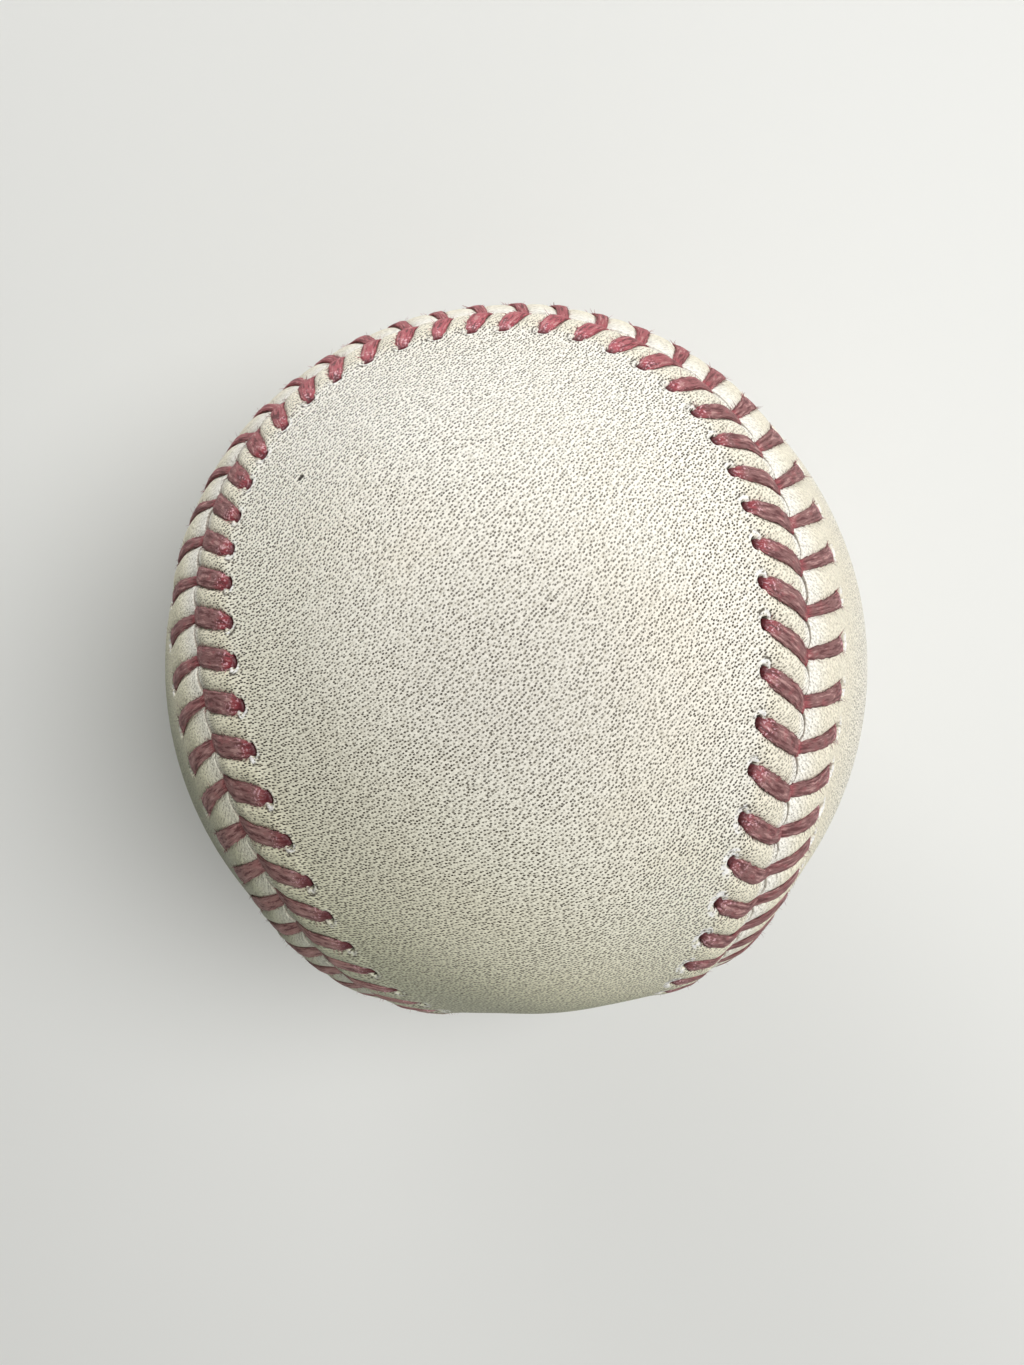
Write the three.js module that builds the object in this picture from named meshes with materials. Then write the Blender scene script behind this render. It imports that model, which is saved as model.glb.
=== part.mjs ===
// A baseball: a cushioned cork pill, four yarn windings, two figure-eight leather panels and the
// two waxed threads that lace the panels together. Millimetres, +Z up, origin at the ball's centre.
// +Z is the middle of the front panel's upper lobe, and +Y points to that lobe's round end.
import * as THREE from "three";
import { mergeVertices } from "three/addons/utils/BufferGeometryUtils.js";

// Pill: cork core, black rubber cups with a washer between their rims, red rubber outer halves
const CORK_RADIUS = 10.3;
const BLACK_RUBBER = 2.95;
const WASHER_THICKNESS = 1.0;
const RED_RUBBER = 3.0;

// Radial thickness of each winding, from the inside out, and the hole where its strand leads in
const FIRST_WOOL = 14.2;
const SECOND_WOOL = 1.55;
const THIRD_WOOL = 2.0;
const FINISH_YARN = 0.35;
const LEAD_HOLE_RADIUS = 1.5;

// Cover leather, the welt that the lacing lifts along the seam and past its holes, and the puff
// of the leather between two stitches
const LEATHER = 1.2;
const WELT_RISE = 0.95;
const WELT_MARGIN = 2.2;
const PILLOW_PUFF = 0.25;

// Lacing: double stitches round the seam, where the first one lies (in stitches), the distance of
// the hole rows from the seam, and how far a leg leans along the seam on its way there
const STITCHES = 108;
const FIRST_STITCH = 0.4;
const HOLE_REACH = 5.4;
const LEAN_LENGTH = 1.6;

// Thread: width at a hole and in the slit, thickness, and share of a hidden run that a tucked end takes
const THREAD_WIDTH = 1.5;
const SLIT_THREAD_WIDTH = 0.82;
const THREAD_THICKNESS = 0.42;
const TUCK_SHARE = 0.4;

// Clearances: between layers, winding to cover, thread to what it passes, and between pill halves
const LAYER_GAP = 0.2;
const COVER_GAP = 0.05;
const THREAD_GAP = 0.2;
const HALF_GAP = 0.3;

// Seam: swing to either side of the equator, its sharpening at the turns, and its lean in longitude
const SEAM_SWING = 1.19;
const SEAM_TURN = -0.04;
const SEAM_LEAN = 0.38;

// Facets: revolved segments and rows, stitches between the ribs across a panel's middle, columns
// along it, and steps to a stitch when the seam's length is measured
const SEGMENTS = 20;
const ROWS = 8;
const RIB_STEP = 2;
const COLUMNS = 8;
const LENGTH_STEPS = 40;

// The seam as a closed curve on the unit ball
class SeamCurve extends THREE.Curve {
  getPoint(u, target = new THREE.Vector3()) {
    const turn = 4 * Math.PI * u;
    const latitude = SEAM_SWING * Math.cos(turn) + SEAM_TURN * Math.cos(3 * turn);
    const longitude = turn / 2 + SEAM_LEAN * Math.sin(2 * turn);
    const level = Math.cos(latitude);
    return target.set(level * Math.sin(longitude), Math.sin(latitude), level * Math.cos(longitude));
  }
}

const seam = new SeamCurve();
seam.arcLengthDivisions = LENGTH_STEPS * STITCHES;
const stitchAngle = seam.getLength() / STITCHES;

// Radii from the inside out
const blackInner = CORK_RADIUS + LAYER_GAP;
const blackOuter = blackInner + BLACK_RUBBER;
const redInner = blackOuter + LAYER_GAP;
const redOuter = redInner + RED_RUBBER;
const firstInner = redOuter + LAYER_GAP;
const firstOuter = firstInner + FIRST_WOOL;
const secondInner = firstOuter + LAYER_GAP;
const secondOuter = secondInner + SECOND_WOOL;
const thirdInner = secondOuter + LAYER_GAP;
const thirdOuter = thirdInner + THIRD_WOOL;
const finishInner = thirdOuter + LAYER_GAP;
const finishOuter = finishInner + FINISH_YARN;

// The cover's inside clears the last winding by its gap and by the dip of a flat facet in its middle
const facetDip = ((RIB_STEP * stitchAngle) ** 2 * finishOuter) / 4;
const coverInner = finishOuter + facetDip + COVER_GAP;
const coverOuter = coverInner + LEATHER;
const pitch = stitchAngle * coverOuter;

// Hole and slit sizes that the thread needs, and the rows of the cover at distances from the seam
const holeLength = THREAD_WIDTH + 2 * THREAD_GAP;
const holeWidth = THREAD_THICKNESS + 2 * THREAD_GAP;
const slitWidth = THREAD_THICKNESS + 2 * THREAD_GAP;
const slitStep = SLIT_THREAD_WIDTH + THREAD_GAP;
const edgeReach = slitWidth / 2;
const nearReach = HOLE_REACH - holeWidth / 2;
const farReach = HOLE_REACH + holeWidth / 2;
const pillowReach = (edgeReach + nearReach) / 2;
const weltReach = farReach + WELT_MARGIN;

// A point near the seam: station counts stitches along it, reach is the distance across the cover
// towards the front panel (negative towards the back panel), radius is from the ball's centre.
function nearSeam(station, reach, radius) {
  const u = THREE.MathUtils.euclideanModulo((station + FIRST_STITCH) / STITCHES, 1);
  const out = seam.getPointAt(u).normalize();
  const across = seam.getTangentAt(u).cross(out).normalize();
  const angle = reach / coverOuter;
  const direction = out.multiplyScalar(Math.cos(angle)).addScaledVector(across, Math.sin(angle));
  return direction.multiplyScalar(radius);
}

// Height of the welt above the plain cover at a distance from the seam
function weltRise(reach) {
  return WELT_RISE * (1 - (reach / weltReach) ** 2);
}

// Collects corners and triangles of one closed skin
class Skin {
  corners = [];
  faces = [];

  corner(point) {
    return this.corners.push(point.x, point.y, point.z) / 3 - 1;
  }

  point(corner) {
    return new THREE.Vector3().fromArray(this.corners, 3 * corner);
  }

  quad(a, b, c, d) {
    this.faces.push(a, b, c, a, c, d);
  }

  // Triangles between a closed row of corners and a second row inside it that runs the same way
  bridge(rowA, rowB) {
    const distance = (a, b) => this.point(a).distanceTo(this.point(b));
    const toStart = rowB.map((b) => distance(rowA[0], b));
    const nearest = toStart.indexOf(Math.min(...toStart));
    const a = (i) => rowA[i % rowA.length];
    const b = (j) => rowB[(j + nearest) % rowB.length];
    let i = 0;
    let j = 0;
    while (i < rowA.length || j < rowB.length) {
      const shorterOnA = distance(a(i + 1), b(j)) < distance(a(i), b(j + 1));
      if (j === rowB.length || (i < rowA.length && shorterOnA)) {
        this.faces.push(a(i + 1), a(i), b(j));
        i += 1;
      } else {
        this.faces.push(a(i), b(j), b(j + 1));
        j += 1;
      }
    }
  }

  turnOver() {
    for (let i = 0; i < this.faces.length; i += 3) {
      [this.faces[i], this.faces[i + 1]] = [this.faces[i + 1], this.faces[i]];
    }
  }

  geometry() {
    const geometry = new THREE.BufferGeometry();
    geometry.setAttribute("position", new THREE.Float32BufferAttribute(this.corners, 3));
    geometry.setIndex(this.faces);
    geometry.computeVertexNormals();
    return geometry;
  }
}

// Pill and windings: solids of revolution about Z

// Points of a meridian between two angles from the top, on rows that all layers share
function meridian(radius, from, to) {
  const row = Math.PI / ROWS;
  const angles = [from];
  for (let i = 1; i < ROWS; i += 1) {
    if (i * row > from + row / 4 && i * row < to - row / 4) angles.push(i * row);
  }
  angles.push(to);
  return angles.map((angle) => new THREE.Vector2(radius * Math.sin(angle), radius * Math.cos(angle)));
}

// Revolves a closed profile, then welds its seam and poles and drops the triangles that collapse there
function revolve(profile) {
  const lathe = new THREE.LatheGeometry([...profile, profile[0]].reverse(), SEGMENTS);
  lathe.deleteAttribute("normal");
  lathe.deleteAttribute("uv");
  const welded = mergeVertices(lathe.rotateX(Math.PI / 2));
  const index = Array.from(welded.index.array);
  const kept = [];
  for (let i = 0; i < index.length; i += 3) {
    const [a, b, c] = index.slice(i, i + 3);
    if (a !== b && b !== c && c !== a) kept.push(a, b, c);
  }
  welded.setIndex(kept);
  welded.computeVertexNormals();
  return welded;
}

function ball(radius) {
  return revolve(meridian(radius, 0, Math.PI));
}

// A ball-shaped shell whose cavity opens at the top through the strand's lead hole
function windingShell(inner, outer) {
  const outside = meridian(outer, Math.asin(LEAD_HOLE_RADIUS / outer), Math.PI);
  const inside = meridian(inner, Math.asin(LEAD_HOLE_RADIUS / inner), Math.PI);
  return revolve([...outside, ...inside.reverse()]);
}

// The upper half of a hollow ball, cut flat at the height of its rim
function halfShell(inner, outer, rim) {
  const outside = meridian(outer, 0, Math.acos(rim / outer));
  const inside = meridian(inner, 0, Math.acos(rim / inner));
  return revolve([...outside, ...inside.reverse()]);
}

function washer() {
  const half = WASHER_THICKNESS / 2;
  return revolve([
    new THREE.Vector2(blackInner, half),
    new THREE.Vector2(blackOuter, half),
    new THREE.Vector2(blackOuter, -half),
    new THREE.Vector2(blackInner, -half),
  ]);
}

// Leather panels

// The three corners that each stitch's cell shares with the next, and the four of its punched hole.
// The cells lean with the stitches between the hole row and the seam.
function panelCorners(skin, side, depth) {
  const place = (station, along, reach, rise) => {
    const lean = LEAN_LENGTH * Math.max(0, 1 - reach / HOLE_REACH);
    return skin.corner(nearSeam(station + (along + lean) / pitch, side * reach, coverOuter - depth + rise));
  };
  const rows = { edge: [], pillow: [], ring: [], hole: [] };
  for (let k = 0; k < STITCHES; k += 1) {
    const between = k + 0.5;
    rows.edge.push(place(between, 0, edgeReach, weltRise(edgeReach)));
    rows.pillow.push(place(between, 0, pillowReach, weltRise(pillowReach) + PILLOW_PUFF));
    rows.ring.push(place(between, 0, weltReach, weltRise(weltReach)));
    rows.hole.push([
      place(k, holeLength / 2, nearReach, weltRise(nearReach)),
      place(k, -holeLength / 2, nearReach, weltRise(nearReach)),
      place(k, -holeLength / 2, farReach, weltRise(farReach)),
      place(k, holeLength / 2, farReach, weltRise(farReach)),
    ]);
  }
  return rows;
}

// The cover round one stitch: ten triangles from the cell's outline to its hole
function stitchCell(skin, rows, k) {
  const last = (k + STITCHES - 1) % STITCHES;
  const [a, b, c, d] = rows.hole[k];
  const [e0, e1] = [rows.edge[last], rows.edge[k]];
  const [p0, p1] = [rows.pillow[last], rows.pillow[k]];
  const [r0, r1] = [rows.ring[last], rows.ring[k]];
  skin.faces.push(e1, e0, b, e1, b, a, e0, p0, b, p0, c, b, p0, r0, c);
  skin.faces.push(r0, r1, d, r0, d, c, r1, p1, d, p1, a, d, p1, e1, a);
}

// The plain middle of a panel: ribs run between facing points of its ring, with columns across them
function panelMiddle(skin, ring, firstOfLobe) {
  const half = Math.floor(STITCHES / 2);
  const ringAt = (i) => ring[THREE.MathUtils.euclideanModulo(firstOfLobe + i, STITCHES)];
  const grid = [];
  for (let j = RIB_STEP; j < half - RIB_STEP; j += RIB_STEP) {
    const right = skin.point(ringAt(j));
    const left = skin.point(ringAt(-1 - j));
    const span = right.angleTo(left);
    const rib = [];
    for (let i = 1; i < COLUMNS; i += 1) {
      const share = i / COLUMNS;
      const point = right.clone().multiplyScalar(Math.sin((1 - share) * span));
      point.addScaledVector(left, Math.sin(share * span)).divideScalar(Math.sin(span));
      rib.push(skin.corner(point));
    }
    grid.push(rib);
  }
  for (let j = 1; j < grid.length; j += 1) {
    for (let i = 1; i < grid[j].length; i += 1) {
      skin.quad(grid[j][i - 1], grid[j - 1][i - 1], grid[j - 1][i], grid[j][i]);
    }
  }
  const outline = [
    ...grid.map((rib) => rib[0]),
    ...grid.at(-1).slice(1, -1),
    ...grid.map((rib) => rib.at(-1)).reverse(),
    ...grid[0].slice(1, -1).reverse(),
  ];
  skin.bridge(ring, outline);
}

// side is +1 for the front panel and -1 for the back, firstOfLobe the stitch at its first round end
function coverPanel(side, firstOfLobe) {
  const skin = new Skin();
  const outer = panelCorners(skin, side, 0);
  for (let k = 0; k < STITCHES; k += 1) stitchCell(skin, outer, k);
  panelMiddle(skin, outer.ring, firstOfLobe);
  skin.turnOver();
  const inner = panelCorners(skin, side, LEATHER);
  for (let k = 0; k < STITCHES; k += 1) stitchCell(skin, inner, k);
  panelMiddle(skin, inner.ring, firstOfLobe);
  for (let k = 0; k < STITCHES; k += 1) {
    const next = (k + 1) % STITCHES;
    skin.quad(outer.edge[next], outer.edge[k], inner.edge[k], inner.edge[next]);
    for (let i = 0; i < 4; i += 1) {
      const j = (i + 1) % 4;
      skin.quad(outer.hole[k][j], outer.hole[k][i], inner.hole[k][i], inner.hole[k][j]);
    }
  }
  if (side > 0) skin.turnOver();
  return skin.geometry();
}

// Lacing threads

// Radii of the thread's middle where it bends: over and under the leather, at the hole and the slit
function threadLevels() {
  const half = THREAD_THICKNESS / 2;
  const slope = (weltRise(edgeReach) - weltRise(nearReach)) / (nearReach - edgeReach);
  const top = coverOuter + weltRise(nearReach) + THREAD_GAP + half;
  const over = (reach) => top + slope * (nearReach - reach);
  const under = (reach) => (finishOuter + coverInner + weltRise(reach)) / 2;
  return {
    overHole: over(HOLE_REACH),
    overSlit: over(0),
    underHole: under(nearReach),
    underSlit: under(edgeReach),
  };
}

// The bends of one thread. It comes up through a hole, crosses to the slit, goes down it and under
// the other panel, and comes up through that panel's next hole, all the way round the seam.
function threadBends(firstSide) {
  const level = threadLevels();
  const bends = [];
  for (let k = 0; k < STITCHES; k += 1) {
    const side = k % 2 === 0 ? firstSide : -firstSide;
    const slit = k + (LEAN_LENGTH + (side * slitStep) / 2) / pitch;
    const hole = { station: k, reach: side * HOLE_REACH, width: THREAD_WIDTH };
    const seamLine = { station: slit, reach: 0, width: SLIT_THREAD_WIDTH };
    bends.push({ ...hole, radius: level.underHole, across: 1, up: -side });
    bends.push({ ...hole, radius: level.overHole, across: 1, up: side });
    bends.push({ ...seamLine, radius: level.overSlit, across: -1, up: side });
    bends.push({ ...seamLine, radius: level.underSlit, across: -1, up: side });
  }
  return bends;
}

// A tucked end: part of the way along the hidden run between two bends, cut square
function tuckedEnd(bend, towards, share, up) {
  const mix = (key) => THREE.MathUtils.lerp(bend[key], towards[key], share);
  const middle = { station: mix("station"), reach: mix("reach"), radius: mix("radius") };
  return { ...middle, width: bend.width, across: 0, up };
}

function threadSections(firstSide) {
  const bends = threadBends(firstSide);
  const first = bends[0];
  const last = bends.at(-1);
  const before = { ...last, station: last.station - STITCHES };
  const after = { ...first, station: first.station + STITCHES };
  return [
    tuckedEnd(first, before, TUCK_SHARE, -firstSide),
    ...bends,
    tuckedEnd(last, after, TUCK_SHARE, -firstSide),
  ];
}

// One unbroken thread of lozenge section, its wide way along the seam
function seamThread(firstSide) {
  const skin = new Skin();
  const half = THREAD_THICKNESS / 2;
  const rings = threadSections(firstSide).map(({ station, reach, radius, width, across, up }) => {
    const share = width / 2 / pitch;
    return [
      skin.corner(nearSeam(station - share, reach, radius)),
      skin.corner(nearSeam(station, reach + across * half, radius + up * half)),
      skin.corner(nearSeam(station + share, reach, radius)),
      skin.corner(nearSeam(station, reach - across * half, radius - up * half)),
    ];
  });
  for (let n = 1; n < rings.length; n += 1) {
    for (let i = 0; i < 4; i += 1) {
      const j = (i + 1) % 4;
      skin.quad(rings[n - 1][i], rings[n - 1][j], rings[n][j], rings[n][i]);
    }
  }
  skin.quad(...rings[0].toReversed());
  skin.quad(...rings.at(-1));
  return skin.geometry();
}

// Least clear distance between runs of a thread that aren't neighbours along it, from points on them
function leastSelfGap(firstSide) {
  const bends = threadSections(firstSide).map((s) => nearSeam(s.station, s.reach, s.radius));
  const runs = bends.slice(1).map((bend, i) => new THREE.Line3(bends[i], bend));
  const foot = new THREE.Vector3();
  let least = Infinity;
  runs.forEach((run, i) => {
    const points = [0, 0.25, 0.5, 0.75, 1].map((share) => run.at(share, new THREE.Vector3()));
    for (const other of runs.slice(i + 2)) {
      for (const point of points) {
        other.closestPointToPoint(point, true, foot);
        least = Math.min(least, foot.distanceTo(point));
      }
    }
  });
  return least - THREAD_THICKNESS;
}

// The assembly

const baseball = new THREE.Group();

function addPiece(name, geometry, finish) {
  const piece = new THREE.Mesh(geometry, new THREE.MeshStandardMaterial(finish));
  piece.name = name;
  baseball.add(piece);
  return piece;
}

function addHalves(name, inner, outer, rim, finish) {
  addPiece(`${name}_upper`, halfShell(inner, outer, rim), finish);
  addPiece(`${name}_lower`, halfShell(inner, outer, rim), finish).rotation.x = Math.PI;
}

const leatherFinish = { color: 0xd6cebb, roughness: 0.62, metalness: 0 };
const threadFinish = { color: 0x8f3038, roughness: 0.7, metalness: 0 };
const blackFinish = { color: 0x201f1e, roughness: 0.75, metalness: 0 };
const redFinish = { color: 0x9a2c25, roughness: 0.7, metalness: 0 };
const greyWool = { color: 0x8b8880, roughness: 1, metalness: 0 };
const whiteWool = { color: 0xe2ddd0, roughness: 1, metalness: 0 };

addPiece("cork_core", ball(CORK_RADIUS), { color: 0xb0814f, roughness: 0.9, metalness: 0 });
addHalves("black_rubber_cup", blackInner, blackOuter, WASHER_THICKNESS / 2 + HALF_GAP, blackFinish);
addPiece("rubber_washer", washer(), redFinish);
addHalves("red_rubber_half", redInner, redOuter, HALF_GAP / 2, redFinish);
addPiece("wool_winding_first", windingShell(firstInner, firstOuter), greyWool);
addPiece("wool_winding_second", windingShell(secondInner, secondOuter), whiteWool);
addPiece("wool_winding_third", windingShell(thirdInner, thirdOuter), greyWool);
addPiece("finish_winding", windingShell(finishInner, finishOuter), whiteWool);
addPiece("cover_panel_front", coverPanel(1, 0), leatherFinish);
addPiece("cover_panel_back", coverPanel(-1, Math.round(STITCHES / 4)), leatherFinish);
addPiece("seam_thread_first", seamThread(1), threadFinish);
addPiece("seam_thread_second", seamThread(-1), threadFinish);

console.log(`stitch pitch ${pitch.toFixed(2)} mm, cover radius ${coverOuter.toFixed(2)} mm`);
console.log(`least gap of a thread to itself ${leastSelfGap(1).toFixed(2)} mm`);

export default baseball;
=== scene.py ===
"""The looks of a baseball: worn pale leather, raised laced seams and the wound core they hide.

Lengths are millimetres until a mesh is made. The seam's curve, its stitches and the radii are those
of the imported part. A place near the seam is given by its station (stitches along the seam), its
reach (distance across the cover, towards the front panel) and its rise above the plain cover.

A soft change is written as four numbers: where it begins and ends, and the amount before and after.
"""

import math

import bpy
import numpy as np
from mathutils import Matrix, Vector, kdtree


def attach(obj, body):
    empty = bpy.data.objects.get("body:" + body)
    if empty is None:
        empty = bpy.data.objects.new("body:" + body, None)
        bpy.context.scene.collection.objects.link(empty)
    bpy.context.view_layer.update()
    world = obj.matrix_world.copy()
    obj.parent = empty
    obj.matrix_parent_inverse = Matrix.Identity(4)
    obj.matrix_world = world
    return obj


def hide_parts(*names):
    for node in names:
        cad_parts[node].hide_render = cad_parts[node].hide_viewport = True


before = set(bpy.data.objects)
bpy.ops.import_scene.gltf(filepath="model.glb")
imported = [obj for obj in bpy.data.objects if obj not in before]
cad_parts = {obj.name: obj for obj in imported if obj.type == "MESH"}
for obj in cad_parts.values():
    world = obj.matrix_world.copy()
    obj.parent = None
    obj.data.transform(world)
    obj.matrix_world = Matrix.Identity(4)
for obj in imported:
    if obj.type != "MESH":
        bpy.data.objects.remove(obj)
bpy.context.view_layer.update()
MM = 0.001

# The two panels. A side is also the sign of a reach towards that panel
FRONT = 1
BACK = -1
SIDES = (FRONT, BACK)

# Cover: plain outer radius, leather, the seam's lift on each panel, how far from the seam it fades out,
# and the valley that the stitches pull down along the slit
COVER_RADIUS = 37.17
LEATHER = 1.2
WELT_RISE = {FRONT: 0.95, BACK: 1.05}
WELT_REACH = 12.5
VALLEY_DEPTH = 0.45
VALLEY_REACH = 2.6

# Seam: swing to either side of the equator, sharpening at the turns, lean in longitude, and samples
SEAM_SWING = 1.19
SEAM_TURN = -0.04
SEAM_LEAN = 0.38
SAMPLES_PER_STITCH = 200

# Lacing: double stitches, where the first lies (in stitches) and the hole rows. Along the seam, counted
# from its stitch: where the holes lie and where the legs go down the slit
STITCHES = 108
FIRST_STITCH = 0.4
HOLE_REACH = 5.4
HOLE_START = {FRONT: 0.0, BACK: 0.45}
SLIT_START = {FRONT: 2.1, BACK: 1.85}

# Hand lacing is uneven. Each mark is a stitch, a spread in stitches and a shift in millimetres
SLIT_WANDER = ((95.4, 3.6, 1.2), (87, 2.5, -1.5), (107, 1.6, 0.5), (3, 14, 0.25), (19.5, 2.6, -0.8))
HOLE_DRIFT = {
    FRONT: ((101, 3.5, -0.9), (7, 3.6, 0.75), (22, 4, 1.5), (90.5, 2.2, -0.45), (13, 1.5, -0.35),
            (1, 0.6, -0.5)),
    BACK: ((10, 2.5, -0.6), (98, 2, 0.7), (17, 2.5, 0.5), (2, 7, -1.6), (22, 3, 0.8)),
}
SLIT_DRIFT = ((1.5, 6, -1.0), (95, 7, -0.3), (21, 3.5, 0.9))
BOWED = {FRONT: ((20, 4, 0.4),), BACK: ()}

# Slack stitches lie broader, by a share of their width
SLACK = {
    FRONT: ((95, 9, 0.28), (1, 7, 0.2), (14, 6, 0.12), (5, 4, 0.2)),
    BACK: ((2, 5, -0.08), (98, 6, -0.1), (6, 3.5, 0.2), (88.5, 5, 0.4), (19.5, 4.5, 0.45)),
}

# Scatter of the holes, of the legs' ends at the slit, of their swelling and level, and of the pillows
HOLE_SCATTER = {FRONT: 0.08, BACK: 0.1}
SLIT_SCATTER = 0.1
SWELL_SCATTER = 0.06
LEVEL_SCATTER = 0.03
PILLOW_SCATTER = 0.16

# Thread: thickness of a leg, thinner at the slit, its lift above the leather, its hidden level, and half
# its width at shares of the way from the slit (0) to the hole (1)
THREAD_THICKNESS = 0.38
THREAD_THINNED = (0.0, 1.2, 0.8, 1.0)
THREAD_LIFT = 0.06
THREAD_UNDER = -1.2
HALF_WIDTHS = {
    FRONT: ((0, 0.62), (0.2, 0.67), (0.45, 0.71), (0.7, 0.72), (0.85, 0.68), (0.94, 0.6), (1, 0.47)),
    BACK: ((0, 0.5), (0.2, 0.52), (0.5, 0.6), (0.85, 0.68), (1, 0.66)),
}

# A leg's course from hole to slit: what pulls its lean and its reach, as shares of the whole, early and
# late on the way, how far past the slit it ends, and the steepest lean that still broadens it
LEAN_PULL = (0.38, 0.8)
REACH_PULL = (0.68, 0.24)
PAST_SLIT = 0.05
STEEPEST_LEAN = 1.2

# A leg's height: arched midway, dipping into its hole and sinking at the slit
LEG_ARCH = 0.08
HOLE_DIP = 0.24
HOLE_DIP_REACH = 0.8
SLIT_SINK = {FRONT: (0.0, 1.6, 0.0, 0.0), BACK: (0.0, 1.6, 0.12, 0.0)}
SLIT_DIP = (0.0, 0.5, 0.06, 0.0)

# Leather puffed up in pillows between the stitches and pressed down under them, as far as the hole row
PILLOW_PUFF = 0.25
PILLOW_FADE = (HOLE_REACH - 0.7, HOLE_REACH + 1.5, 1.0, 0.0)
GROOVE_DEPTH = 0.08
GROOVE_FADE = (HOLE_REACH - 0.2, HOLE_REACH + 0.5, 1.0, 0.0)

# Holes: how far past their row and behind their leg they lie, half their size, depth, and the wall and the
# raised rim by distance in hole sizes. The rim is higher on the side away from the seam
HOLE_OUTWARD = {FRONT: 0.22, BACK: 0.36}
HOLE_BEHIND = 0.08
HOLE_HALF_LENGTH = 0.64
HOLE_HALF_WIDTH = 0.44
HOLE_DEPTH = 1.0
HOLE_WALL = (0.55, 1.1, 1.0, 0.0)
RIM_RISE = {FRONT: 0.05, BACK: 0.16}
RIM_MIDDLE = 1.35
RIM_SPREAD = 0.3
RIM_OUTWARD = (HOLE_REACH, HOLE_REACH + 0.6, 0.3, 1.0)

# Slit: the rounded lip of each panel, the gap, opened past each stitch that goes down, and the shift of
# the slit towards the front panel, in scallops that lag behind the stitches
LIP_WIDTH = 0.3
LIP_DROP = 0.13
SLIT_HALF_GAP = 0.015
SLIT_OPENING = 0.03
OPENING_PAST = 1.0
OPENING_SPREAD = 0.8
OPENING_FADE = (0.0, 1.8, 1.0, 0.0)
SLIT_SHIFT = 0.3
SLIT_SCALLOP = 0.12
SCALLOP_LAG = 0.3
SLIT_FADE = (0.0, 3.6, 1.0, 0.0)

# Grain of the hide: the heading of its strokes, their bend per millimetre towards one end, their waver and
# its lengths along and across, and the share and angle to which the hide is drawn in round an end
GRAIN_HEADING = math.radians(41)
GRAIN_BEND = 0.0155
GRAIN_WAVER = 0.45
WAVER_ALONG = 5
WAVER_ACROSS = 7
DRAWN_IN = 0.4
DRAWN_ANGLE = 1.5

# Wear of each panel by distance from the seam: bare edge, which also carries a painted highlight, stains,
# and pores that open away from the seam and close again towards the front panel's middle
BARE_AND_LIT_EDGE = {FRONT: (0.2, 1.4, 1.0, 0.0), BACK: (0.2, 2.4, 1.0, 0.0)}
STAINED = {FRONT: (4.6, 6.2, 1.0, 0.0), BACK: (7.0, 18.0, 1.2, 0.0)}
OPEN_PORES = {FRONT: (2.8, 5.8, 0.4, 1.0), BACK: (3.0, 16.0, 0.25, 0.95)}
MIDDLE_PORES = {FRONT: (6.0, 16.0, 1.25, 0.92), BACK: (6.0, 16.0, 1.0, 1.0)}

# Where play has flattened the ball a little: direction, depth and spread
FLAT_HEADING = (-8.4, -33.0, 14.9)
FLAT_DEPTH = 0.5
FLAT_SPREAD = 11.0

# Camera of the photograph, and the frame that it was measured in
PHOTO_HEIGHT_PX = 1365
FOCAL_PX = 1061.5
SENSOR_WIDTH = 36.0
NEAREST_SEEN = 5.0
CAMERA_PLACE = (6.673, 3.637, 118.087)
CAMERA_FORWARD = (-0.06176, -0.04373, -0.99713)
CAMERA_UP = (0.12890, 0.99032, -0.05141)

rng = np.random.default_rng(7)


# Numbers

def smooth(value, low, high):
    """0 below low, 1 above high, and a soft step between them."""
    share = np.clip((value - low) / (high - low), 0, 1)
    return share * share * (3 - 2 * share)


def fade(value, low, high, before, after):
    """A soft change from one amount to another."""
    return before + (after - before) * smooth(value, low, high)


def cubic(share, start, early, late, end):
    """A curve from start to end that is pulled towards early and late on the way."""
    left = 1 - share
    pulled = 3 * early * share * left ** 2 + 3 * late * share ** 2 * left
    return start * left ** 3 + pulled + end * share ** 3


def unit(vectors):
    return vectors / np.linalg.norm(vectors, axis=-1, keepdims=True)


# Seam

def seam_direction(turn):
    latitude = SEAM_SWING * np.cos(turn) + SEAM_TURN * np.cos(3 * turn)
    longitude = turn / 2 + SEAM_LEAN * np.sin(2 * turn)
    level = np.cos(latitude)
    parts = [level * np.sin(longitude), np.sin(latitude), level * np.cos(longitude)]
    return np.stack(parts, axis=-1)


SEAM_TURNS = np.linspace(0, 4 * math.pi, SAMPLES_PER_STITCH * STITCHES + 1)
SEAM_STEPS = np.linalg.norm(np.diff(seam_direction(SEAM_TURNS), axis=0), axis=1)
SEAM_LENGTH = SEAM_STEPS.sum()
SEAM_STATIONS = np.concatenate([[0], np.cumsum(SEAM_STEPS)]) * STITCHES / SEAM_LENGTH
PITCH = COVER_RADIUS * SEAM_LENGTH / STITCHES


def uneven(station, marks):
    """The sum of soft local shifts at places along the closed seam."""
    total = np.zeros(np.shape(station))
    for centre, spread, shift in marks:
        apart = (station - centre + STITCHES / 2) % STITCHES - STITCHES / 2
        total = total + shift * np.exp(-((apart / spread) ** 2))
    return total


def near_seam(station, reach, rise):
    station, reach, rise = np.broadcast_arrays(station, reach, rise)
    turn = np.interp((station + FIRST_STITCH) % STITCHES, SEAM_STATIONS, SEAM_TURNS)
    step = 1e-4
    out = seam_direction(turn)
    ahead = seam_direction(turn + step) - seam_direction(turn - step)
    across = unit(np.cross(ahead, out))
    angle = ((reach + uneven(station, SLIT_WANDER)) / COVER_RADIUS)[..., None]
    direction = out * np.cos(angle) + across * np.sin(angle)
    return direction * (COVER_RADIUS + rise)[..., None]


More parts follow.
